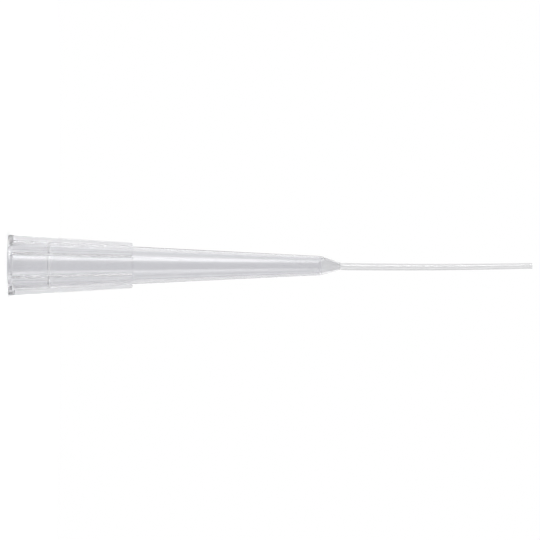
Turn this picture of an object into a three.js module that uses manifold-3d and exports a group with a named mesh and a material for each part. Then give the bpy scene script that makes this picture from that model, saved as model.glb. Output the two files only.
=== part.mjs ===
// Gel-loading pipette tip: one injection-moulded polypropylene piece with a ribbed collar, a tapered
// hollow body and a long drawn-down capillary. Millimetres, +Z up. It stands on its mouth, so the
// origin is the centre of the mouth's rim and the capillary points up.

import * as THREE from "three";
import { mergeVertices } from "three/addons/utils/BufferGeometryUtils.js";
import Module from "manifold-3d";

const wasm = await Module();
wasm.setup();

// Lengths along the axis
const OVERALL_LENGTH = 62;
const COLLAR_LENGTH = 14.7;
const BODY_LENGTH = 22.36;
const SHOULDER_LENGTH = 2.2;
const FLANGE_HEIGHT = 0.62;

// Outer diameters of the tapered core, between the ribs and below them
const CORE_MOUTH_DIAMETER = 5.84;
const CORE_COLLAR_END_DIAMETER = 4.46;
const BODY_END_DIAMETER = 2.25;
const CAPILLARY_ROOT_DIAMETER = 0.84;
const CAPILLARY_END_DIAMETER = 0.66;

// Walls: the bore follows the core at these depths
const MOUTH_WALL = 0.42;
const COLLAR_END_WALL = 0.44;
const BODY_END_WALL = 0.24;
const CAPILLARY_WALL = 0.15;

// Ribs of the collar, which end in the shoulder that a rack carries
const RIB_COUNT = 6;
const RIB_THICKNESS = 0.42;
const RIB_HEIGHT_AT_MOUTH = 0.65;
const RIB_HEIGHT_AT_END = 0.44;
const RIB_ROOT_FILLET = 0.1;
const RIB_EDGE_ROUND = 0.07;
const RIB_END_ROUND = 0.16;
const VALLEY_RISE = 0.03; // how far the collar's valleys stand proud of the body's cone

// Flange round the mouth
const FLANGE_LIP = 0.04; // how far it stands past the ribs
const FLANGE_EDGE_ROUND = 0.06;

// Socket for the pipette's nose: lead-in, land and sealing ring
const LEAD_IN_DEPTH = 0.5;
const LEAD_IN_WIDTH = 0.3;
const LAND_START = 4;
const LAND_RUN = 0.4; // length of the slope from the socket to the land
const LAND_STEP = 0.05;
const SEAL_HEIGHT = 4.84;
const SEAL_WIDTH = 0.3;
const SEAL_DEPTH = 0.15;

// Roundings of the shoulder, and the slight set of the thin capillary
const SHOULDER_ROUND = 3;
const NECK_FILLET = 1.6;
const NECK_RUN = 1; // stretch of the capillary that the neck's fillet may take
const NECK_OFFSET = 0.11;
const CAPILLARY_BOW = 0.1;
const END_RETURN = 0.12;

// Fineness
const ROUND_SEGMENTS = 48;
const ARC_STEPS = 3;
const CAPILLARY_STEPS = 8;

const BODY_END = COLLAR_LENGTH + BODY_LENGTH;
const NECK = BODY_END + SHOULDER_LENGTH;
const HIDDEN = FLANGE_HEIGHT / 2; // where the core and the collar start, inside the flange
const CUT_PAST = 1; // how far the bore's cutter runs past both ends

const { lerp, inverseLerp, smoothstep } = THREE.MathUtils;

// Radius of the collar's core, and height of its ribs, at a height above the rim
const alongCollar = (start, end, z) => lerp(start, end, z / COLLAR_LENGTH);
const coreRadius = (z) => alongCollar(CORE_MOUTH_DIAMETER, CORE_COLLAR_END_DIAMETER, z) / 2;
const ribHeight = (z) => alongCollar(RIB_HEIGHT_AT_MOUTH, RIB_HEIGHT_AT_END, z);
const crestRadius = (z) => coreRadius(z) + ribHeight(z);
const flangeRadius = (z) => crestRadius(z) + FLANGE_LIP;
const collarWall = (z) => alongCollar(MOUTH_WALL, COLLAR_END_WALL, z);

// Turns a polyline of [radius, height, rounding] into points, with an arc at each rounded corner
function roundedProfile(corners) {
  const points = corners.map(([r, z]) => new THREE.Vector2(r, z));
  return points.flatMap((corner, i) => {
    const rounding = corners[i][2];
    if (!rounding) return [corner];
    const back = points[i - 1].clone().sub(corner).normalize();
    const on = points[i + 1].clone().sub(corner).normalize();
    const halfAngle = Math.acos(THREE.MathUtils.clamp(back.dot(on), -1, 1)) / 2;
    const reach = rounding / Math.tan(halfAngle);
    const start = corner.clone().addScaledVector(back, reach);
    const end = corner.clone().addScaledVector(on, reach);
    const middle = back.clone().add(on).normalize();
    const centre = corner.clone().addScaledVector(middle, rounding / Math.sin(halfAngle));
    return arc(centre, start, end);
  });
}

// Points of the shorter arc about a centre, from a start to an end
function arc(centre, start, end) {
  const from = start.clone().sub(centre);
  const to = end.clone().sub(centre);
  const turn = Math.atan2(from.cross(to), from.dot(to));
  const points = [];
  for (let k = 0; k <= ARC_STEPS; k++) {
    points.push(start.clone().rotateAround(centre, (turn * k) / ARC_STEPS));
  }
  return points;
}

function solidOf(geometry) {
  const bare = geometry.clone();
  bare.deleteAttribute("normal");
  bare.deleteAttribute("uv");
  const merged = mergeVertices(bare, 1e-4);
  return new wasm.Manifold(
    new wasm.Mesh({
      numProp: 3,
      vertProperties: merged.attributes.position.array,
      triVerts: new Uint32Array(merged.index.array),
    }),
  );
}

// Solid of revolution about Z, from a profile that runs up the outside and back to the axis
function revolve(profile) {
  const geometry = new THREE.LatheGeometry(profile, ROUND_SEGMENTS);
  geometry.rotateX(Math.PI / 2);
  return solidOf(geometry);
}

// Solid skinned over level outlines that have the same number of points, each with its height
function loft(sections) {
  const count = sections[0].outline.length;
  const positions = sections.flatMap(({ outline, z }) => outline.flatMap((p) => [p.x, p.y, z]));
  const faces = [];
  for (let level = 0; level < sections.length - 1; level++) {
    for (let i = 0; i < count; i++) {
      const next = (i + 1) % count;
      const a = level * count + i;
      const b = level * count + next;
      faces.push(a, b, b + count, a, b + count, a + count);
    }
  }
  const top = (sections.length - 1) * count;
  THREE.ShapeUtils.triangulateShape(sections[0].outline, []).forEach(([a, b, c]) => {
    faces.push(a, c, b);
  });
  THREE.ShapeUtils.triangulateShape(sections.at(-1).outline, []).forEach(([a, b, c]) => {
    faces.push(top + a, top + b, top + c);
  });
  const geometry = new THREE.BufferGeometry();
  geometry.setAttribute("position", new THREE.Float32BufferAttribute(positions, 3));
  geometry.setIndex(faces);
  return solidOf(geometry);
}

// Upper half of one rib's outline, from the valley's middle through the root fillet and the flank
// to the middle of the crest. The rib points along +X.
function halfRib(valley, crest) {
  const half = RIB_THICKNESS / 2;
  const rootY = half + RIB_ROOT_FILLET;
  const root = new THREE.Vector2(Math.sqrt((valley + RIB_ROOT_FILLET) ** 2 - rootY ** 2), rootY);
  const onValley = root.clone().setLength(valley);
  const edgeY = half - RIB_EDGE_ROUND;
  const edge = new THREE.Vector2(Math.sqrt((crest - RIB_EDGE_ROUND) ** 2 - edgeY ** 2), edgeY);
  const valleyMiddle = new THREE.Vector2(valley, 0).rotateAround(
    new THREE.Vector2(),
    Math.PI / RIB_COUNT,
  );
  return [
    ...arc(new THREE.Vector2(), valleyMiddle, onValley).slice(1, -1),
    ...arc(root, onValley, new THREE.Vector2(root.x, half)),
    ...arc(edge, new THREE.Vector2(edge.x, half), edge.clone().setLength(crest)),
  ];
}

// Whole outline of the ribbed collar, counter-clockwise
function collarOutline(valley, crest) {
  const upper = halfRib(valley, crest);
  const lower = upper.map((p) => new THREE.Vector2(p.x, -p.y));
  const rib = [...lower, ...upper.reverse()];
  const outline = [];
  for (let k = 0; k < RIB_COUNT; k++) {
    const angle = (k * 2 * Math.PI) / RIB_COUNT;
    const centre = new THREE.Vector2();
    outline.push(...rib.map((p) => p.clone().rotateAround(centre, angle)));
    outline.push(
      new THREE.Vector2(valley, 0).rotateAround(centre, angle + Math.PI / RIB_COUNT),
    );
  }
  return outline;
}

function collar() {
  const section = (z, drop) => ({
    z,
    outline: collarOutline(coreRadius(z) + VALLEY_RISE, crestRadius(z) - drop),
  });
  const sections = [section(HIDDEN, 0)];
  for (let k = 0; k <= ARC_STEPS; k++) {
    const angle = (k / ARC_STEPS) * (Math.PI / 2);
    const z = COLLAR_LENGTH - RIB_END_ROUND * (1 - Math.sin(angle));
    sections.push(section(z, RIB_END_ROUND * (1 - Math.cos(angle))));
  }
  return loft(sections);
}

function flange() {
  return revolve(
    roundedProfile([
      [0, 0],
      [flangeRadius(0), 0, FLANGE_EDGE_ROUND],
      [flangeRadius(FLANGE_HEIGHT), FLANGE_HEIGHT, FLANGE_EDGE_ROUND],
      [0, FLANGE_HEIGHT],
    ]),
  );
}

// Levels of a profile up the capillary, close enough together to carry its bow
function capillaryLevels(rootRadius, endRadius) {
  const levels = [];
  for (let k = 1; k <= CAPILLARY_STEPS; k++) {
    const share = k / CAPILLARY_STEPS;
    levels.push([lerp(rootRadius, endRadius, share), lerp(NECK + NECK_RUN, OVERALL_LENGTH, share)]);
  }
  return levels;
}

function core() {
  return revolve(
    roundedProfile([
      [0, HIDDEN],
      [coreRadius(HIDDEN), HIDDEN],
      [coreRadius(COLLAR_LENGTH), COLLAR_LENGTH],
      [BODY_END_DIAMETER / 2, BODY_END, SHOULDER_ROUND],
      [CAPILLARY_ROOT_DIAMETER / 2, NECK, NECK_FILLET],
      [CAPILLARY_ROOT_DIAMETER / 2, NECK + NECK_RUN],
      ...capillaryLevels(CAPILLARY_ROOT_DIAMETER / 2, CAPILLARY_END_DIAMETER / 2),
      [0, OVERALL_LENGTH],
    ]),
  );
}

function bore() {
  const socket = (z) => coreRadius(z) - collarWall(z);
  const land = (z) => socket(z) - LAND_STEP;
  const sealStart = SEAL_HEIGHT - SEAL_WIDTH / 2;
  const sealEnd = SEAL_HEIGHT + SEAL_WIDTH / 2;
  const landEnd = LAND_START + LAND_RUN;
  const rootBore = CAPILLARY_ROOT_DIAMETER / 2 - CAPILLARY_WALL;
  const endBore = CAPILLARY_END_DIAMETER / 2 - CAPILLARY_WALL;
  return revolve(
    roundedProfile([
      [0, -CUT_PAST],
      [socket(0) + LEAD_IN_WIDTH, -CUT_PAST],
      [socket(0) + LEAD_IN_WIDTH, 0],
      [socket(LEAD_IN_DEPTH), LEAD_IN_DEPTH],
      [socket(LAND_START), LAND_START],
      [land(landEnd), landEnd],
      [land(sealStart), sealStart],
      [land(SEAL_HEIGHT) - SEAL_DEPTH, SEAL_HEIGHT, SEAL_WIDTH / 4],
      [land(sealEnd), sealEnd],
      [land(COLLAR_LENGTH), COLLAR_LENGTH],
      [BODY_END_DIAMETER / 2 - BODY_END_WALL, BODY_END, SHOULDER_ROUND],
      [rootBore, NECK, NECK_FILLET],
      [rootBore, NECK + NECK_RUN],
      ...capillaryLevels(rootBore, endBore),
      [endBore, OVERALL_LENGTH + CUT_PAST],
      [0, OVERALL_LENGTH + CUT_PAST],
    ]),
  );
}

// Sideways set of the moulding at a height: none up to the shoulder, then a slight offset and bow
function sideways(z) {
  const offset = NECK_OFFSET * smoothstep(z, BODY_END, NECK + NECK_RUN);
  const share = THREE.MathUtils.clamp(inverseLerp(NECK, OVERALL_LENGTH, z), 0, 1);
  return offset + CAPILLARY_BOW * Math.sin(Math.PI * share) - END_RETURN * share;
}

function meshGeometry(solid) {
  const { numProp, vertProperties, triVerts } = solid.getMesh();
  const positions = [];
  for (let i = 0; i < vertProperties.length; i += numProp) {
    const [x, y, z] = vertProperties.subarray(i, i + 3);
    positions.push(x + sideways(z), y, z);
  }
  const geometry = new THREE.BufferGeometry();
  geometry.setAttribute("position", new THREE.Float32BufferAttribute(positions, 3));
  geometry.setIndex(new THREE.BufferAttribute(triVerts, 1));
  geometry.computeVertexNormals();
  return geometry;
}

const polypropylene = new THREE.MeshStandardMaterial({
  color: 0xe2e4e8,
  roughness: 0.25,
  metalness: 0,
  transparent: true,
  opacity: 0.5,
});

const tip = new THREE.Mesh(
  meshGeometry(flange().add(collar()).add(core()).subtract(bore())),
  polypropylene,
);
tip.name = "pipette_tip";

const part = new THREE.Group();
part.add(tip);

export default part;
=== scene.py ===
"""Gel-loading pipette tip: one piece of moulded polypropylene, standing on its mouth.

The fixed frame gives the overall size. The collar is modelled as one rib with its share of the
valley and repeated round the axis; the flange, body, capillary and bore are one spun section.
Lengths are in metres, +Z runs up the axis and a rib points along +X.
"""

import math

import bmesh
import bpy
from bpy.props import FloatProperty, FloatVectorProperty, IntProperty, PointerProperty
from mathutils import Matrix, Vector


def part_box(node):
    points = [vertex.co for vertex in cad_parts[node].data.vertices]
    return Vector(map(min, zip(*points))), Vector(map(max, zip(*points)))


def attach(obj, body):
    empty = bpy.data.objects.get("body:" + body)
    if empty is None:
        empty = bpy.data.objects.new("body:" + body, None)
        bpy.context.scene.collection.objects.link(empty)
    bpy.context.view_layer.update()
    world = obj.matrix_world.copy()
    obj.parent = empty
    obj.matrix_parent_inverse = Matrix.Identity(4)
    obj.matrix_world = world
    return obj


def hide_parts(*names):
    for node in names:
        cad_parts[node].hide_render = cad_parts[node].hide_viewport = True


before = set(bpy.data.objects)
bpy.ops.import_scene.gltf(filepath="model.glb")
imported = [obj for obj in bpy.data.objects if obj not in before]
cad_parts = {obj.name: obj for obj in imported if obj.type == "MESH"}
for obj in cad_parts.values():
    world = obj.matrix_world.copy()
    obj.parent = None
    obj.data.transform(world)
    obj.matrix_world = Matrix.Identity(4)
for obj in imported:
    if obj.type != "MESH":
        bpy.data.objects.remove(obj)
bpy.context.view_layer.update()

bl_info = {
    "name": "Gel-loading pipette tip",
    "version": (1, 0, 0),
    "blender": (4, 5, 0),
    "location": "View3D > Sidebar > Pipette tip",
    "description": "Models a ribbed, hollow pipette tip and its studio",
    "category": "Add Mesh",
}

MM = 0.001
CAD_NODE = "pipette_tip"
TIP_LOW, TIP_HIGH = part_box(CAD_NODE)

RIB_COUNT = 6
SECTOR = 2 * math.pi / RIB_COUNT
SAME_PLACE = 1e-6
SAME_LEVEL = SAME_PLACE / 4
LEVEL_DIGITS = 7
SMOOTH_ANGLE = math.radians(35)

# The flange's top ends this share of its lip outside the crests, and the collar is bridged to it.
FLANGE_SEAM_SHARE = 1 / 8

POLYPROPYLENE_IOR = 1.49
STREAK_SCALE = 900
STREAK_STRETCH = 0.12
STREAK_RANGE = (0.35, 0.65)
GRAIN_SCALE = 6000
GRAIN_SHARE = 0.3
BUMP_STRENGTH = 0.15
BUMP_HEIGHT = 0.01 * MM

FLOOR_COLOUR = (0.8, 0.8, 0.8, 1)
FLOOR_ROUGHNESS = 0.9
FLOOR_GLOW = 0.32
FLOOR_CORNERS = 96
WHITE = (1, 1, 1, 1)

SOFTBOX_DISTANCE = 0.5
SOFTBOX_WIDTH = 0.46
SOFTBOX_HEIGHT = 0.5
SOFTBOX_ANGLES = {"softbox_left": math.radians(-48), "softbox_right": math.radians(52)}

SENSOR_WIDTH = 36
CLIP_NEAR = 0.05
CLIP_FAR = 20
LIGHT_BOUNCES = 32

# Where one level of the room passes into the next, as the height of a direction of length 1.
SQUARE_TO_ASLANT = (0.09, 0.15)
ASLANT_TO_ALONG = (0.32, 0.48)

# The soft lights and dark gaps that the plastic mirrors: direction in degrees round the axis, from
# the camera's side towards +X, then the levels for light square to the axis, aslant and along it.
ROOM_MAP = (
    (-172.5, 0.0, 0.9, 5.7),
    (-157.5, 0.0, 2.2, 4.2),
    (-142.5, 1.6, 1.8, 3.3),
    (-127.5, 1.4, 0.6, 1.5),
    (-112.5, 1.4, 0.0, 0.0),
    (-97.5, 2.0, 0.8, 0.0),
    (-82.5, 2.1, 2.1, 0.0),
    (-67.5, 2.6, 3.3, 0.0),
    (-52.5, 8.1, 2.9, 0.0),
    (-37.5, 9.2, 0.0, 0.0),
    (-22.5, 1.6, 0.0, 0.0),
    (-7.5, 0.0, 0.0, 0.0),
    (7.5, 0.0, 0.0, 0.0),
    (22.5, 0.0, 0.0, 0.0),
    (37.5, 4.6, 0.0, 0.0),
    (52.5, 2.5, 1.3, 0.0),
    (67.5, 0.2, 2.8, 0.0),
    (82.5, 2.6, 0.7, 0.0),
    (97.5, 0.0, 1.2, 0.7),
    (112.5, 0.4, 3.4, 6.7),
    (127.5, 0.5, 2.9, 8.0),
    (142.5, 0.8, 2.6, 7.4),
    (157.5, 0.0, 0.8, 6.4),
    (172.5, 1.7, 0.4, 6.6),
)
BRIGHTEST = max(max(levels) for _, *levels in ROOM_MAP)


def length(name, description, value):
    """A size in millimetres as a length property."""
    return FloatProperty(
        name=name, description=description, default=value * MM, min=0, precision=5, unit="LENGTH"
    )


class TipSizes(bpy.types.PropertyGroup):
    """Driving sizes of the moulding."""

    overall_length: length("Overall length", "From the mouth's rim to the tip", TIP_HIGH.z / MM)
    collar_length: length("Collar length", "From the rim to the ends of the ribs", 14.7)
    body_length: length("Body length", "Tapered stretch above the collar", 22.36)
    shoulder_length: length("Shoulder length", "Steep stretch up to the capillary", 2.2)
    flange_height: length("Flange height", "Thickness of the ring round the mouth", 0.62)

    mouth_diameter: length("Core at the mouth", "Outer diameter between the ribs", 5.84)
    collar_end_diameter: length("Core at the collar's end", "Outer diameter", 4.46)
    body_end_diameter: length("Body's end", "Outer diameter", 2.25)
    capillary_root_diameter: length("Capillary's root", "Outer diameter", 0.84)
    capillary_end_diameter: length("Capillary's end", "Outer diameter", 0.66)

    mouth_wall: length("Wall at the mouth", "Thickness between the ribs", 0.42)
    collar_end_wall: length("Wall at the collar's end", "Thickness between the ribs", 0.44)
    body_end_wall: length("Wall at the body's end", "Thickness", 0.24)
    capillary_wall: length("Capillary's wall", "Thickness", 0.15)

    rib_thickness: length("Rib thickness", "From flank to flank", 0.42)
    rib_height_mouth: length("Rib height at the mouth", "Above the core", 0.65)
    rib_height_end: length("Rib height at its end", "Above the core", 0.44)
    rib_root_fillet: length("Rib's root fillet", "Radius where a flank meets the valley", 0.1)
    rib_edge_round: length("Rib's edge round", "Radius of the crest's two edges", 0.07)
    rib_end_round: length("Rib's end round", "Radius of the crest's upper end", 0.16)
    valley_rise: length("Valley rise", "How far the valleys stand proud of the core", 0.03)
    ledge_fall: length("Ledge fall", "Draft of the ledges at the collar's two ends", 0.02)

    flange_lip: length("Flange lip", "How far the flange stands past the ribs", 0.04)
    flange_round: length("Flange round", "Radius of the flange's edges", 0.03)

    lead_in_depth: length("Lead-in depth", "Height of the chamfer inside the mouth", 0.5)
    lead_in_width: length("Lead-in width", "How far the chamfer opens the mouth", 0.3)
    land_start: length("Land start", "Height where the socket narrows", 4.0)
    land_run: length("Land run", "Length of the slope down to the land", 0.4)
    land_step: length("Land step", "How far the land stands in", 0.05)
    seal_height: length("Sealing ring height", "Middle of the ring above the rim", 4.84)
    seal_width: length("Sealing ring width", "Height of the ring", 0.3)
    seal_depth: length("Sealing ring depth", "How far it stands in from the land", 0.15)

    shoulder_round: length("Shoulder round", "Radius where body and shoulder meet", 3.0)
    neck_fillet: length("Neck fillet", "Radius where shoulder and capillary meet", 1.6)
    neck_run: length("Neck run", "Straight stretch above the neck", 1.0)
    neck_offset: length("Neck offset", "Sideways set of the neck", 0.11)
    capillary_bow: length("Capillary's bow", "Sideways set at its middle", 0.1)
    end_return: length("End return", "How far the end comes back", 0.12)

    @property
    def body_end(self):
        return self.collar_length + self.body_length

    @property
    def neck(self):
        return self.body_end + self.shoulder_length

    def along_collar(self, start, end, height):
        return start + (end - start) * height / self.collar_length

    def core(self, height):
        """Outer radius between the ribs, along the collar."""
        return self.along_collar(self.mouth_diameter, self.collar_end_diameter, height) / 2

    def valley(self, height):
        return self.core(height) + self.valley_rise

    def crest(self, height):
        """Radius of the ribs' crests."""
        rise = self.along_collar(self.rib_height_mouth, self.rib_height_end, height)
        return self.core(height) + rise

    def flange(self, height):
        return self.crest(height) + self.flange_lip

    def socket(self, height):
        """Radius of the bore along the collar."""
        return self.core(height) - self.along_collar(
            self.mouth_wall, self.collar_end_wall, height
        )

    def land(self, height):
        return self.socket(height) - self.land_step

    def sideways(self, height):
        """How far the moulding's axis has drifted towards +X at a height."""
        rise = (height - self.body_end) / (self.neck + self.neck_run - self.body_end)
        rise = min(max(rise, 0), 1)
        share = (height - self.neck) / (self.overall_length - self.neck)
        share = min(max(share, 0), 1)
        return (
            self.neck_offset * rise * rise * (3 - 2 * rise)
            + self.capillary_bow * math.sin(math.pi * share)
            - self.end_return * share
        )


class TipFineness(bpy.types.PropertyGroup):
    """How finely the rounds are divided."""

    round_segments: IntProperty(
        name="Round segments", description="Divisions of a small round", default=3, min=1
    )
    valley_segments: IntProperty(
        name="Valley segments", description="Divisions of half a valley", default=6, min=2
    )
    shoulder_segments: IntProperty(
        name="Shoulder segments", description="Divisions of the shoulder's rounds", default=8, min=1
    )
    capillary_steps: IntProperty(
        name="Capillary steps", description="Levels that carry the capillary's bow", default=30, min=1
    )


class TipFinish(bpy.types.PropertyGroup):
    """Look of the polypropylene."""

    tint: FloatVectorProperty(
        name="Tint", description="Colour of the plastic", subtype="COLOR", min=0, max=1,
        default=(0.79, 0.79, 0.81),
    )
    clarity: FloatProperty(
        name="Clarity", description="Share of light that passes a surface", default=0.97,
        min=0, max=1, subtype="FACTOR",
    )
    smoothest: FloatProperty(
        name="Smoothest", description="Roughness of the clearest streaks", default=0.02,
        min=0, max=1, subtype="FACTOR",
    )
    roughest: FloatProperty(
        name="Roughest", description="Roughness of the haziest streaks", default=0.05,
        min=0, max=1, subtype="FACTOR",
    )
    shoulder_tint: FloatVectorProperty(
        name="Shoulder tint", description="Colour of the shoulder", subtype="COLOR",
        min=0, max=1, default=(0.955, 0.955, 0.97),
    )
    shoulder_clarity: FloatProperty(
        name="Shoulder clarity", description="Share of light that passes the shoulder",
        default=0.55, min=0, max=1, subtype="FACTOR",
    )
    drawn_tint: FloatVectorProperty(
        name="Drawn tint", description="Colour of the drawn capillary", subtype="COLOR",
        min=0, max=1, default=(0.885, 0.885, 0.895),
    )
    drawn_clarity: FloatProperty(
        name="Drawn clarity", description="Share of light that passes the drawn plastic",
        default=0.1, min=0, max=1, subtype="FACTOR",
    )


class StudioSettings(bpy.types.PropertyGroup):
    """Camera, softboxes and surroundings."""

    camera_distance: length("Camera distance", "From the axis", 600)
    picture_width: length("Picture width", "What the picture spans at the axis", 63.94)
    aim_height: length("Aim height", "Height at the middle of the picture", 30.95)
    aim_aside: length("Aim aside", "Sideways place of the middle of the picture", 0.503)
    picture_turn: FloatProperty(
        name="Picture turn", description="Turn about the line of sight", subtype="ANGLE",
        default=math.radians(0.077),
    )
    floor_radius: length("Floor radius", "Round table top that the tip stands on", 140)
    lamp_level: FloatProperty(
        name="Lamp level", description="Radiance of the two lamps beside the table", default=0.7
    )
    plain_level: FloatProperty(
        name="Plain level", description="Even light of the room on matt surfaces", default=0.7
    )


# ---- Modelling helpers -------------------------------------------------------------------------


def start_point(name, place):
    """A new object at the origin, in edit mode, holding one selected vertex."""
    bpy.ops.object.select_all(action="DESELECT")
    bpy.ops.mesh.primitive_plane_add(size=MM)
    piece = bpy.context.object
    piece.name = name
    bpy.ops.object.mode_set(mode="EDIT")
    bpy.ops.mesh.merge(type="CENTER")
    bpy.ops.transform.translate(value=place)
    return piece


def pick(piece, wanted):
    """Selects the vertices whose place is wanted, and what lies between them."""
    bpy.ops.mesh.select_mode(type="VERT")
    bpy.ops.mesh.select_all(action="DESELECT")
    mesh = bmesh.from_edit_mesh(piece.data)
    for vertex in mesh.verts:
        vertex.select = wanted(vertex.co)
    mesh.select_flush(True)
    bmesh.update_edit_mesh(piece.data)


def pick_open_edges(piece, low, high):
    """Selects the open edges that lie between two heights."""
    bpy.ops.mesh.select_mode(type="EDGE")
    bpy.ops.mesh.select_all(action="DESELECT")
    mesh = bmesh.from_edit_mesh(piece.data)
    for edge in mesh.edges:
        between = all(low - SAME_PLACE < v.co.z < high + SAME_PLACE for v in edge.verts)
        edge.select = edge.is_boundary and between
    bmesh.update_edit_mesh(piece.data)


def draw_line(places):
    """Extrudes the selected vertex through places."""
    for here, there in zip(places, places[1:]):
        bpy.ops.mesh.extrude_vertices_move(TRANSFORM_OT_translate={"value": there - here})


def round_corner(piece, corner, reach, segments):
    """Rounds the drawn line's corner at a place, starting a reach away on either side."""
    pick(piece, lambda co: (co - corner).length < SAME_PLACE)
    bpy.ops.mesh.bevel(offset=reach, segments=segments, affect="VERTICES")


# ---- The moulding ------------------------------------------------------------------------------


def rib_sector(sizes, fineness):
    """One rib and its share of the valley, from the flange to the rib's rounded end."""
    bottom = sizes.flange_height
    half = sizes.rib_thickness / 2
    valley = sizes.valley(bottom)
    crest = sizes.crest(bottom)
    foot_angle = math.asin(half / valley)
    crest_edge = Vector((crest, half, bottom))
    foot = Vector((valley * math.cos(foot_angle), half, bottom))

    piece = start_point("collar", (crest, 0, bottom))
    draw_line([Vector((crest, 0, bottom)), crest_edge, foot])
    bpy.ops.mesh.spin(
        steps=fineness.valley_segments,
        angle=foot_angle - SECTOR / 2,
        center=(0, 0, bottom),
        axis=(0, 0, 1),
    )
    round_corner(piece, crest_edge, sizes.rib_edge_round, fineness.round_segments)
    round_corner(piece, foot, sizes.rib_root_fillet, fineness.round_segments)

    bpy.ops.mesh.select_all(action="SELECT")
    bpy.ops.mesh.duplicate()
    bpy.ops.transform.mirror(constraint_axis=(False, True, False), center_override=(0, 0, 0))
    bpy.ops.mesh.select_all(action="SELECT")
    bpy.ops.mesh.remove_doubles(threshold=SAME_PLACE)

    levels = [(bottom, 0)]
    for step in range(fineness.round_segments + 1):
        angle = math.pi / 2 * step / fineness.round_segments
        height = sizes.collar_length - sizes.rib_end_round * (1 - math.sin(angle))
        levels.append((height, sizes.rib_end_round * (1 - math.cos(angle))))
    rib_half_width = half + sizes.rib_root_fillet + SAME_PLACE
    for (low, low_drop), (high, high_drop) in zip(levels, levels[1:]):
        pick(piece, lambda co: abs(co.z - low) < SAME_PLACE)
        bpy.ops.mesh.extrude_edges_move(TRANSFORM_OT_translate={"value": (0, 0, high - low)})
        crest_was = sizes.crest(low) - low_drop
        crest_is = sizes.crest(high) - high_drop
        split = crest_was - sizes.rib_edge_round - SAME_PLACE
        shrink = sizes.valley(high) / sizes.valley(low)
        pick(piece, lambda co: abs(co.z - high) < SAME_PLACE and abs(co.y) > rib_half_width)
        bpy.ops.transform.resize(value=(shrink, shrink, 1), center_override=(0, 0, high))
        pick(
            piece,
            lambda co: abs(co.z - high) < SAME_PLACE
            and abs(co.y) <= rib_half_width
            and co.x < split,
        )
        bpy.ops.transform.translate(value=(sizes.valley(high) - sizes.valley(low), 0, 0))
        pick(piece, lambda co: abs(co.z - high) < SAME_PLACE and co.x >= split)
        bpy.ops.transform.translate(value=(crest_is - crest_was, 0, 0))
    return piece


def collar_skin(sizes, fineness):
    """The whole ribbed collar: the sector repeated round the axis."""
    piece = rib_sector(sizes, fineness)
    bpy.ops.mesh.select_all(action="SELECT")
    bpy.ops.mesh.spin(
        steps=RIB_COUNT - 1,
        dupli=True,
        angle=2 * math.pi - SECTOR,
        center=(0, 0, 0),
        axis=(0, 0, 1),
    )
    bpy.ops.mesh.select_all(action="SELECT")
    bpy.ops.mesh.remove_doubles(threshold=SAME_PLACE)
    bpy.ops.object.mode_set(mode="OBJECT")
    return piece


def section_corners(sizes, fineness):
    """The half section, from the ribs' ends over the capillary and down the bore to the flange.

    Each corner is a place, a rounding radius and the divisions of that round.
    """
    fine, small = fineness.shoulder_segments, fineness.round_segments
    root = sizes.capillary_root_diameter / 2
    end = sizes.capillary_end_diameter / 2
    wall = sizes.capillary_wall
    body_end_bore = sizes.body_end_diameter / 2 - sizes.body_end_wall
    land_end = sizes.land_start + sizes.land_run
    seal_start = sizes.seal_height - sizes.seal_width / 2
    seal_end = sizes.seal_height + sizes.seal_width / 2
    seal_radius = sizes.land(sizes.seal_height) - sizes.seal_depth
    ledge = sizes.collar_length - sizes.ledge_fall
    flange_top = sizes.flange_height - sizes.ledge_fall
    run_start = sizes.neck + sizes.neck_run
    levels = []
    for step in range(fineness.capillary_steps + 1):
        share = step / fineness.capillary_steps
        height = run_start + (sizes.overall_length - run_start) * share
        levels.append((root + (end - root) * share, height))
    corners = [
        (sizes.core(ledge), ledge, 0, 0),
        (sizes.body_end_diameter / 2, sizes.body_end, sizes.shoulder_round, fine),
        (root, sizes.neck, sizes.neck_fillet, fine),
        *[(radius, height, 0, 0) for radius, height in levels],
        *[(radius - wall, height, 0, 0) for radius, height in reversed(levels)],
        (root - wall, sizes.neck, sizes.neck_fillet, fine),
        (body_end_bore, sizes.body_end, sizes.shoulder_round, fine),
        (sizes.land(sizes.collar_length), sizes.collar_length, 0, 0),
        (sizes.land(seal_end), seal_end, 0, 0),
        (seal_radius, sizes.seal_height, sizes.seal_width / 4, small),
        (sizes.land(seal_start), seal_start, 0, 0),
        (sizes.land(land_end), land_end, 0, 0),
        (sizes.socket(sizes.land_start), sizes.land_start, 0, 0),
        (sizes.socket(sizes.lead_in_depth), sizes.lead_in_depth, 0, 0),
        (sizes.socket(0) + sizes.lead_in_width, 0, 0, 0),
        (sizes.flange(0), 0, sizes.flange_round, small),
        (sizes.flange(flange_top), flange_top, sizes.flange_round, small),
        (sizes.crest(flange_top) + sizes.flange_lip * FLANGE_SEAM_SHARE, flange_top, 0, 0),
    ]
    return [(Vector((radius, 0, z)), rounding, cuts) for radius, z, rounding, cuts in corners]


def spun_shell(sizes, fineness):
    """Body, shoulder, capillary, bore and flange, spun from one section."""
    corners = section_corners(sizes, fineness)
    piece = start_point("moulded_tip", corners[0][0])
    draw_line([place for place, _, _ in corners])
    for before, (place, radius, cuts), after in zip(corners, corners[1:], corners[2:]):
        if radius:
            half_angle = (before[0] - place).angle(after[0] - place) / 2
            round_corner(piece, place, radius / math.tan(half_angle), cuts)
    columns = 2 * RIB_COUNT * (fineness.valley_segments + 2 * fineness.round_segments + 2)
    bpy.ops.mesh.select_all(action="SELECT")
    bpy.ops.mesh.spin(steps=columns, angle=2 * math.pi, center=(0, 0, 0), axis=(0, 0, 1))
    bpy.ops.mesh.select_all(action="SELECT")
    bpy.ops.mesh.remove_doubles(threshold=SAME_PLACE)
    bpy.ops.object.mode_set(mode="OBJECT")
    return piece


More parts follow.
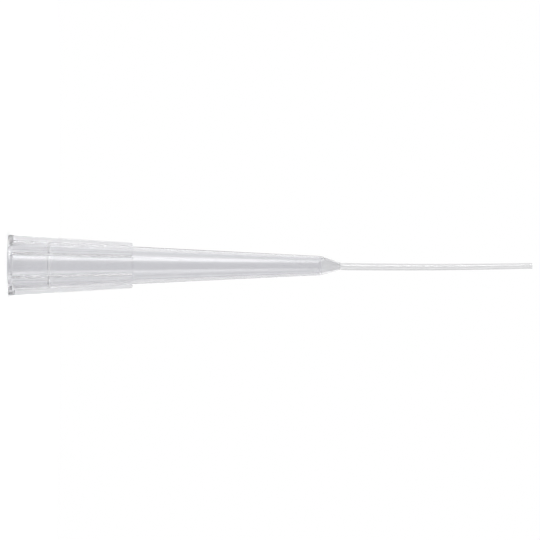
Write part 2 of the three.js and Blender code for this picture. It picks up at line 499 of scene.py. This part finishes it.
def set_sideways(piece, sizes):
    """Moves each level above the body's end sideways, by the moulding's slight set."""
    mesh = bmesh.from_edit_mesh(piece.data)
    levels = sorted({round(v.co.z, LEVEL_DIGITS) for v in mesh.verts if v.co.z > sizes.body_end})
    for level in levels:
        pick(piece, lambda co: abs(co.z - level) < SAME_LEVEL)
        bpy.ops.transform.translate(value=(sizes.sideways(level), 0, 0))


class TIP_OT_moulded_tip(bpy.types.Operator):
    """Model the whole tip as one hollow moulding"""

    bl_idname = "tip.moulded_tip"
    bl_label = "Moulded tip"

    def execute(self, context):
        sizes = context.scene.tip_sizes
        fineness = context.scene.tip_fineness
        collar = collar_skin(sizes, fineness)
        piece = spun_shell(sizes, fineness)
        collar.select_set(True)
        piece.select_set(True)
        context.view_layer.objects.active = piece
        bpy.ops.object.join()
        bpy.ops.object.mode_set(mode="EDIT")
        for height in (sizes.flange_height, sizes.collar_length):
            pick_open_edges(piece, height - sizes.ledge_fall, height)
            bpy.ops.mesh.bridge_edge_loops()
        bpy.ops.mesh.select_mode(type="VERT")
        bpy.ops.mesh.select_all(action="SELECT")
        bpy.ops.mesh.normals_make_consistent(inside=False)
        set_sideways(piece, sizes)
        bpy.ops.object.mode_set(mode="OBJECT")
        bpy.ops.object.shade_smooth_by_angle(angle=SMOOTH_ANGLE)
        finish = context.scene.tip_finish
        haze = flow_haze()
        for name, tint, clarity in (
            ("natural polypropylene", finish.tint, finish.clarity),
            ("stretched polypropylene", finish.shoulder_tint, finish.shoulder_clarity),
            ("drawn polypropylene", finish.drawn_tint, finish.drawn_clarity),
        ):
            piece.data.materials.append(polypropylene(name, haze, finish, tint, clarity))
        for face in piece.data.polygons:
            height = face.center.z
            face.material_index = int(height > sizes.body_end) + int(height > sizes.neck)
        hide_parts(CAD_NODE)
        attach(piece, "root")
        return {"FINISHED"}


# ---- Materials ---------------------------------------------------------------------------------


def new_group(name, inputs, outputs):
    """An empty node group with its sockets, and its input and output nodes."""
    group = bpy.data.node_groups.new(name, "ShaderNodeTree")
    for socket, kind in inputs:
        group.interface.new_socket(socket, in_out="INPUT", socket_type=kind)
    for socket, kind in outputs:
        group.interface.new_socket(socket, in_out="OUTPUT", socket_type=kind)
    return group, group.nodes.new("NodeGroupInput"), group.nodes.new("NodeGroupOutput")


def flow_haze():
    """Streaks that follow the melt up the axis, over a fine grain."""
    group, given, made = new_group(
        "flow haze",
        [
            ("Vector", "NodeSocketVector"),
            ("Streak Scale", "NodeSocketFloat"),
            ("Grain Scale", "NodeSocketFloat"),
            ("Low", "NodeSocketFloat"),
            ("High", "NodeSocketFloat"),
        ],
        [("Roughness", "NodeSocketFloat"), ("Height", "NodeSocketFloat")],
    )
    nodes, links = group.nodes, group.links
    stretch = nodes.new("ShaderNodeMapping")
    stretch.inputs["Scale"].default_value = (1, 1, STREAK_STRETCH)
    streaks = nodes.new("ShaderNodeTexNoise")
    streaks.inputs["Detail"].default_value = 3
    grain = nodes.new("ShaderNodeTexNoise")
    grain.inputs["Detail"].default_value = 2
    spread = nodes.new("ShaderNodeMapRange")
    spread.inputs["From Min"].default_value, spread.inputs["From Max"].default_value = STREAK_RANGE
    both = nodes.new("ShaderNodeMath")
    both.operation = "MULTIPLY_ADD"
    both.inputs[1].default_value = GRAIN_SHARE
    links.new(given.outputs["Vector"], stretch.inputs["Vector"])
    links.new(stretch.outputs["Vector"], streaks.inputs["Vector"])
    links.new(given.outputs["Streak Scale"], streaks.inputs["Scale"])
    links.new(given.outputs["Vector"], grain.inputs["Vector"])
    links.new(given.outputs["Grain Scale"], grain.inputs["Scale"])
    links.new(streaks.outputs["Fac"], spread.inputs["Value"])
    links.new(given.outputs["Low"], spread.inputs["To Min"])
    links.new(given.outputs["High"], spread.inputs["To Max"])
    links.new(spread.outputs["Result"], made.inputs["Roughness"])
    links.new(grain.outputs["Fac"], both.inputs[0])
    links.new(streaks.outputs["Fac"], both.inputs[2])
    links.new(both.outputs["Value"], made.inputs["Height"])
    return group


def polypropylene(name, haze_group, finish, tint, clarity):
    """Natural polypropylene, from nearly clear to milky."""
    material = bpy.data.materials.new(name)
    material.use_nodes = True
    nodes, links = material.node_tree.nodes, material.node_tree.links
    shader = nodes["Principled BSDF"]
    place = nodes.new("ShaderNodeTexCoord")
    haze = nodes.new("ShaderNodeGroup")
    haze.node_tree = haze_group
    haze.inputs["Streak Scale"].default_value = STREAK_SCALE
    haze.inputs["Grain Scale"].default_value = GRAIN_SCALE
    haze.inputs["Low"].default_value = finish.smoothest
    haze.inputs["High"].default_value = finish.roughest
    bump = nodes.new("ShaderNodeBump")
    bump.inputs["Strength"].default_value = BUMP_STRENGTH
    bump.inputs["Distance"].default_value = BUMP_HEIGHT
    shader.inputs["Base Color"].default_value = (*tint, 1)
    shader.inputs["IOR"].default_value = POLYPROPYLENE_IOR
    shader.inputs["Transmission Weight"].default_value = clarity
    links.new(place.outputs["Object"], haze.inputs["Vector"])
    links.new(haze.outputs["Roughness"], shader.inputs["Roughness"])
    links.new(haze.outputs["Height"], bump.inputs["Height"])
    links.new(bump.outputs["Normal"], shader.inputs["Normal"])
    return material


def floor_paint():
    """Matt white with a glow that only the camera sees, so that it shows white round its shadow."""
    material = bpy.data.materials.new("white floor")
    material.use_nodes = True
    nodes, links = material.node_tree.nodes, material.node_tree.links
    shader = nodes["Principled BSDF"]
    shader.inputs["Base Color"].default_value = FLOOR_COLOUR
    shader.inputs["Roughness"].default_value = FLOOR_ROUGHNESS
    shader.inputs["Emission Color"].default_value = WHITE
    path = nodes.new("ShaderNodeLightPath")
    level = nodes.new("ShaderNodeMath")
    level.operation = "MULTIPLY"
    level.inputs[1].default_value = FLOOR_GLOW
    links.new(path.outputs["Is Camera Ray"], level.inputs[0])
    links.new(level.outputs["Value"], shader.inputs["Emission Strength"])
    return material


# ---- Studio ------------------------------------------------------------------------------------


def room_ring(nodes, column):
    """One column of the room's map as a ramp round the axis, as a share of the brightest level."""
    ring = nodes.new("ShaderNodeValToRGB")
    stops = ring.color_ramp.elements
    stops.remove(stops[1])
    for degrees, *levels in ROOM_MAP:
        stop = stops.new((degrees + 180) / 360)
        stop.color = (*[levels[column] / BRIGHTEST] * 3, 1)
    stops.remove(stops[0])
    return ring


def blend_rings(nodes, links, steepness, span, lower, upper):
    """Passes from one level to the next as a direction turns towards the axis."""
    factor = nodes.new("ShaderNodeMapRange")
    factor.interpolation_type = "SMOOTHSTEP"
    factor.inputs["From Min"].default_value, factor.inputs["From Max"].default_value = span
    blend = nodes.new("ShaderNodeMix")
    blend.data_type = "FLOAT"
    links.new(steepness, factor.inputs["Value"])
    links.new(factor.outputs["Result"], blend.inputs["Factor"])
    links.new(lower, blend.inputs["A"])
    links.new(upper, blend.inputs["B"])
    return blend.outputs["Result"]


def room_light(scene, studio):
    """White to look at and through, the room's map in reflections, an even level on matt surfaces."""
    world = bpy.data.worlds.new("studio")
    world.use_nodes = True
    scene.world = world
    nodes, links = world.node_tree.nodes, world.node_tree.links
    background = nodes["Background"]
    path = nodes.new("ShaderNodeLightPath")
    place = nodes.new("ShaderNodeTexCoord")
    split = nodes.new("ShaderNodeSeparateXYZ")
    towards = nodes.new("ShaderNodeMath")
    towards.operation = "MULTIPLY"
    towards.inputs[1].default_value = -1
    angle = nodes.new("ShaderNodeMath")
    angle.operation = "ARCTAN2"
    share = nodes.new("ShaderNodeMapRange")
    share.inputs["From Min"].default_value = -math.pi
    share.inputs["From Max"].default_value = math.pi
    rings = [room_ring(nodes, column) for column in range(3)]
    steepness = nodes.new("ShaderNodeMath")
    steepness.operation = "ABSOLUTE"
    seen = nodes.new("ShaderNodeMix")
    seen.data_type = "FLOAT"
    seen.inputs["A"].default_value = 1
    scaled = nodes.new("ShaderNodeMath")
    scaled.operation = "MULTIPLY"
    scaled.inputs[1].default_value = BRIGHTEST
    matt = nodes.new("ShaderNodeMix")
    matt.data_type = "FLOAT"
    matt.inputs["B"].default_value = studio.plain_level
    links.new(place.outputs["Generated"], split.inputs["Vector"])
    links.new(split.outputs["Y"], towards.inputs[0])
    links.new(split.outputs["X"], angle.inputs[0])
    links.new(towards.outputs["Value"], angle.inputs[1])
    links.new(angle.outputs["Value"], share.inputs["Value"])
    for ring in rings:
        links.new(share.outputs["Result"], ring.inputs["Fac"])
    links.new(split.outputs["Z"], steepness.inputs[0])
    steep = steepness.outputs["Value"]
    square, aslant, along = (ring.outputs["Color"] for ring in rings)
    level = blend_rings(nodes, links, steep, SQUARE_TO_ASLANT, square, aslant)
    level = blend_rings(nodes, links, steep, ASLANT_TO_ALONG, level, along)
    links.new(level, scaled.inputs[0])
    links.new(scaled.outputs["Value"], seen.inputs["B"])
    links.new(path.outputs["Is Reflection Ray"], seen.inputs["Factor"])
    links.new(seen.outputs["Result"], matt.inputs["A"])
    links.new(path.outputs["Is Diffuse Ray"], matt.inputs["Factor"])
    links.new(matt.outputs["Result"], background.inputs["Strength"])
    background.inputs["Color"].default_value = WHITE


def softbox(name, place, width, height, radiance):
    """A rectangular light beside the table, facing the axis."""
    target = Vector((0, 0, TIP_HIGH.z / 2))
    bpy.ops.object.light_add(type="AREA", location=place)
    lamp = bpy.context.object
    lamp.name = name
    lamp.rotation_euler = (target - Vector(place)).to_track_quat("-Z", "Y").to_euler()
    lamp.data.shape = "RECTANGLE"
    lamp.data.size = width
    lamp.data.size_y = height
    lamp.data.energy = radiance * math.pi * width * height
    lamp.visible_camera = lamp.visible_glossy = lamp.visible_transmission = False


class TIP_OT_studio(bpy.types.Operator):
    """Set the floor, softboxes, surroundings and camera"""

    bl_idname = "tip.studio"
    bl_label = "Studio"

    def execute(self, context):
        studio = context.scene.tip_studio
        bpy.ops.object.select_all(action="DESELECT")
        bpy.ops.mesh.primitive_circle_add(
            vertices=FLOOR_CORNERS, radius=studio.floor_radius, fill_type="NGON"
        )
        floor = context.object
        floor.name = "floor"
        floor.data.materials.append(floor_paint())
        floor.visible_glossy = floor.visible_transmission = False

        for name, angle in SOFTBOX_ANGLES.items():
            aside, ahead = math.sin(angle), -math.cos(angle)
            place = (SOFTBOX_DISTANCE * aside, SOFTBOX_DISTANCE * ahead, SOFTBOX_HEIGHT / 2)
            softbox(name, place, SOFTBOX_WIDTH, SOFTBOX_HEIGHT, studio.lamp_level)
        room_light(context.scene, studio)

        bpy.ops.object.camera_add()
        camera = context.object
        camera.name = "camera"
        across = Vector((0, 0, 1))
        up = Vector((-1, 0, 0))
        back = Vector((0, -1, 0))
        turn = Matrix.Rotation(studio.picture_turn, 3, back)
        rotation = turn @ Matrix((across, up, back)).transposed()
        place = Vector((studio.aim_aside, -studio.camera_distance, studio.aim_height))
        camera.matrix_world = Matrix.Translation(place) @ rotation.to_4x4()
        camera.data.sensor_width = SENSOR_WIDTH
        camera.data.lens = SENSOR_WIDTH * studio.camera_distance / studio.picture_width
        camera.data.clip_start = CLIP_NEAR
        camera.data.clip_end = CLIP_FAR
        context.scene.camera = camera
        context.scene.view_settings.view_transform = "Standard"
        light_paths = context.scene.cycles
        light_paths.max_bounces = LIGHT_BOUNCES
        light_paths.glossy_bounces = LIGHT_BOUNCES
        light_paths.transmission_bounces = LIGHT_BOUNCES
        return {"FINISHED"}


class TIP_PT_panel(bpy.types.Panel):
    """The tip's pieces and sizes"""

    bl_idname = "TIP_PT_panel"
    bl_label = "Pipette tip"
    bl_space_type = "VIEW_3D"
    bl_region_type = "UI"
    bl_category = "Pipette tip"

    def draw(self, context):
        scene = context.scene
        self.layout.operator(TIP_OT_moulded_tip.bl_idname)
        self.layout.operator(TIP_OT_studio.bl_idname)
        for group in (scene.tip_sizes, scene.tip_fineness, scene.tip_finish, scene.tip_studio):
            box = self.layout.box()
            for name in group.__annotations__:
                box.prop(group, name)


GROUPS = {
    "tip_sizes": TipSizes,
    "tip_fineness": TipFineness,
    "tip_finish": TipFinish,
    "tip_studio": StudioSettings,
}
OPERATORS = (TIP_OT_moulded_tip, TIP_OT_studio)


def register():
    for name, group in GROUPS.items():
        bpy.utils.register_class(group)
        setattr(bpy.types.Scene, name, PointerProperty(type=group))
    for operator in OPERATORS:
        bpy.utils.register_class(operator)
    bpy.utils.register_class(TIP_PT_panel)


def unregister():
    bpy.utils.unregister_class(TIP_PT_panel)
    for operator in reversed(OPERATORS):
        bpy.utils.unregister_class(operator)
    for name, group in reversed(GROUPS.items()):
        delattr(bpy.types.Scene, name)
        bpy.utils.unregister_class(group)


def main():
    register()
    bpy.ops.tip.moulded_tip()
    bpy.ops.tip.studio()


if __name__ == "__main__":
    main()
